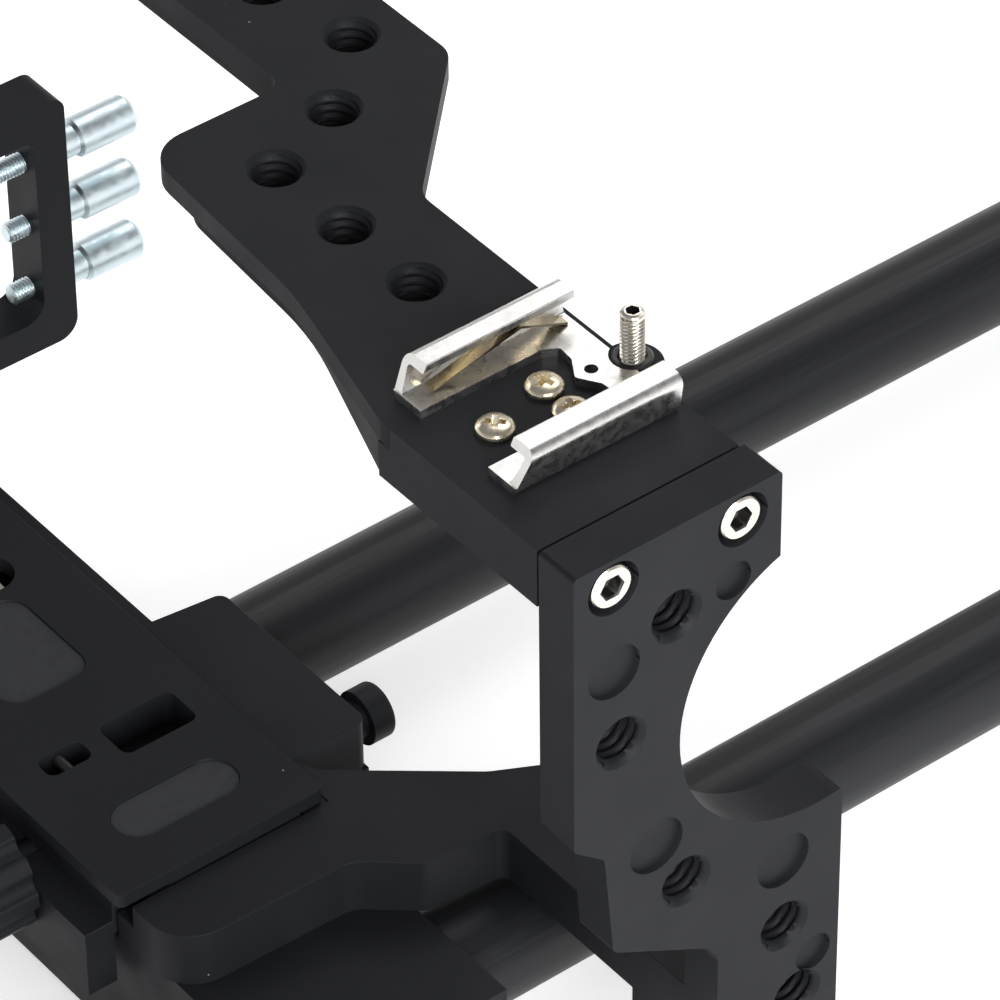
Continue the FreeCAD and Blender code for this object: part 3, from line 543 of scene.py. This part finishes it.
cableScrews = {"x": -83.5, "y": 39.2, "lowest": 37.0, "pitch": 10.2, "topLonger": 2.0}
for k in range(3):
    longer = cableScrews["topLonger"] if k == 2 else 0.0
    spec = dict(m3, axis=(0, 1, 0), threadFrom=-20.0, threadTo=-0.5, profile=[
        (-8.8 - longer, 1.0), (-8.5 - longer, 1.46), (-0.2, 1.46), (0.0, 2.2), (2.0, 2.2), (2.2, 2.2),
        (2.21, 2.3), (2.6, 2.7), (10.5, 2.7), (10.95, 2.45), (11.15, 2.0), (11.2, 1.2)])
    name = "cable_screw_" + str(k + 1)
    place = (cableScrews["x"], cableScrews["y"], cableScrews["lowest"] + cableScrews["pitch"] * k)
    finishPiece(name + "_turned", joinMeshes([screwMesh(spec, place)]), bodyOf[name],
                [zincScrew], (name,))
print("threaded screws made")


def coilMesh(spec):
    # Wire along a helix about Y. The path is centre + (R cos a, length * a / whole turn, R sin a);
    # round it runs a circle of the wire's radius, across the path's own direction.
    a = np.linspace(0, 2 * math.pi * spec["turns"], spec["stepsPerTurn"] * spec["turns"] + 1)
    climb = spec["length"] / a[-1]
    path = np.stack([spec["radius"] * np.cos(a), climb * a, spec["radius"] * np.sin(a)], axis=1)
    along = np.stack([-spec["radius"] * np.sin(a), np.full_like(a, climb), spec["radius"] * np.cos(a)], axis=1)
    along /= np.linalg.norm(along, axis=1, keepdims=True)
    outward = np.stack([np.cos(a), np.zeros_like(a), np.sin(a)], axis=1)
    upward = np.cross(along, outward)
    b = np.linspace(0, 2 * math.pi, spec["around"], endpoint=False)[None, :, None]
    ring = np.cos(b) * outward[:, None, :] + np.sin(b) * upward[:, None, :]
    points = np.array(spec["centre"]) + path[:, None, :] + spec["wire"] * ring
    rows, n = len(a), spec["around"]
    ends = [list(range(n))[::-1], [(rows - 1) * n + k for k in range(n)]]
    return meshFrom("coil", points.reshape(-1, 3) * mm, gridFaces(rows, n, wrapColumns=True), ends)


springSpec = {"turns": 4, "stepsPerTurn": 28, "length": 3.4, "radius": 1.9, "wire": 0.2, "around": 10,
              "centre": (-2.0, 13.9, 24.2), "sharpFrom": 80.0}
spring = finishPiece("release_spring_coil", joinMeshes([coilMesh(springSpec)]), bodyOf["release_spring"],
                     [springSteel], ("release_spring",), springSpec["sharpFrom"])
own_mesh(spring)
print("release spring made")


# what keeps its CAD mesh and only takes a material
plain = {
    "left_rod": tube, "right_rod": tube, "left_rod_caps": plugPlastic, "right_rod_caps": plugPlastic,
    "left_rod_shoe": nylon, "right_rod_shoe": nylon, "screw_washer": nylon, "tripod_bush": brass,
    "plate_pads": padRubber, "foot_strips": footRubber, "slot_bar": oxideAndSocketShade,
    "jaw_guide_pins": oxideAndSocketShade, "shoe_leaf_spring": springSteel,
}
for name, material in plain.items():
    mesh = nodes[name].data
    if not mesh.materials:
        mesh.materials.append(material)
    for i in range(len(mesh.materials)):
        mesh.materials[i] = material
print("plain nodes finished:", len(plain))


# camera

cameraView = {"place": (0.4826, -0.32671, 0.5747), "elevation": 40.73, "azimuth": 52.33, "roll": -0.72,
              "lens": 237.3, "sensor": 36.0}
e, a, roll = [math.radians(cameraView[k]) for k in ("elevation", "azimuth", "roll")]
back = Vector((math.sin(a) * math.cos(e), -math.cos(a) * math.cos(e), math.sin(e)))
levelRight = Vector((math.cos(a), math.sin(a), 0.0))
levelUp = back.cross(levelRight)
right = math.cos(roll) * levelRight + math.sin(roll) * levelUp
up = math.cos(roll) * levelUp - math.sin(roll) * levelRight
cameraData = bpy.data.cameras.new("camera")
cameraData.lens = cameraView["lens"]
cameraData.sensor_width = cameraView["sensor"]
camera = bpy.data.objects.new("camera", cameraData)
facing = Matrix((right, up, back)).transposed().to_4x4()
camera.matrix_world = Matrix.Translation(cameraView["place"]) @ facing
bpy.context.scene.collection.objects.link(camera)
bpy.context.scene.camera = camera


# floor, backdrop and light

studio = {"ambient": 0.5, "horizon": "#ffffff", "zenith": "#858587", "fadeFrom": 0.1, "fadeTo": 0.55,
          "floor": "#e8e8e8", "floorRoughness": 0.9, "floorHalf": 3.0, "floorDrop": 0.0002, "glow": 0.55}
# lights: place and size in metres, power in watts
lights = {
    "keySoftbox": {"place": (1.3, -0.3, 0.6), "size": (0.9, 0.9), "power": 24.0},
    "overheadSoftbox": {"place": (-0.5, 0.9, 1.3), "size": (1.0, 0.8), "power": 6.0},
}
lightTarget = (0.0, 0.02, 0.07)


def seenDirectly(tree):  # 1 for rays from the camera and for those that glossy or clear surfaces send on
    path = addNode(tree, "ShaderNodeLightPath")
    both = addNode(tree, "ShaderNodeMath", {"operation": "MAXIMUM"},
                   {0: path.outputs["Is Camera Ray"], 1: path.outputs["Is Glossy Ray"]})
    return addNode(tree, "ShaderNodeMath", {"operation": "MAXIMUM"},
                   {0: both.outputs[0], 1: path.outputs["Is Transmission Ray"]}).outputs[0]


def softWorld():
    world = bpy.data.worlds.new("studio")
    world.use_nodes = True
    tree = world.node_tree
    tree.nodes.clear()
    room = addNode(tree, "ShaderNodeBackground", {"Color": (1, 1, 1, 1), "Strength": studio["ambient"]})
    height = addNode(tree, "ShaderNodeSeparateXYZ", {},
                     {"Vector": addNode(tree, "ShaderNodeTexCoord").outputs["Generated"]}).outputs["Z"]
    fade = spread(tree, height, studio["fadeFrom"], studio["fadeTo"], 0.0, 1.0)
    wall = twoTone(tree, fade, studio["horizon"], studio["zenith"])
    seen = addNode(tree, "ShaderNodeBackground", {"Strength": 1.0}, {"Color": wall})
    mix = addNode(tree, "ShaderNodeMixShader", {},
                  {0: seenDirectly(tree), 1: room.outputs[0], 2: seen.outputs[0]})
    addNode(tree, "ShaderNodeOutputWorld", {}, {"Surface": mix.outputs[0]})
    bpy.context.scene.world = world


def paleFloor():
    half, level = studio["floorHalf"], -studio["floorDrop"]
    corners = [(-half, -half, level), (half, -half, level), (half, half, level), (-half, half, level)]
    mesh = meshFrom("floor", np.array(corners), np.array([[0, 1, 2, 3]]))
    material, tree, shader = newMaterial("whitePaper")[:3]
    shader.inputs["Base Color"].default_value = linear(studio["floor"])
    shader.inputs["Roughness"].default_value = studio["floorRoughness"]
    glow = addNode(tree, "ShaderNodeEmission", {"Color": (1, 1, 1, 1), "Strength": studio["glow"]})
    dark = addNode(tree, "ShaderNodeEmission", {"Color": (0, 0, 0, 1), "Strength": 0.0})
    lit = addNode(tree, "ShaderNodeMixShader", {},
                  {0: seenDirectly(tree), 1: dark.outputs[0], 2: glow.outputs[0]})
    total = addNode(tree, "ShaderNodeAddShader", {}, {0: shader.outputs[0], 1: lit.outputs[0]})
    tree.links.new(total.outputs[0], tree.nodes["Material Output"].inputs["Surface"])
    mesh.materials.append(material)
    floor = bpy.data.objects.new("floor", mesh)
    bpy.context.scene.collection.objects.link(floor)


def softbox(name, place, target, size, power):
    data = bpy.data.lights.new(name, "AREA")
    data.shape = "RECTANGLE"
    data.size, data.size_y = size
    data.energy = power
    lamp = bpy.data.objects.new(name, data)
    toTarget = Vector(target) - Vector(place)
    lamp.matrix_world = Matrix.Translation(place) @ toTarget.to_track_quat("-Z", "Y").to_matrix().to_4x4()
    bpy.context.scene.collection.objects.link(lamp)


softWorld()
paleFloor()
for name, light in lights.items():
    softbox(name, light["place"], lightTarget, light["size"], light["power"])
bpy.context.scene.view_settings.view_transform = "Standard"
print("camera, floor and lights placed")
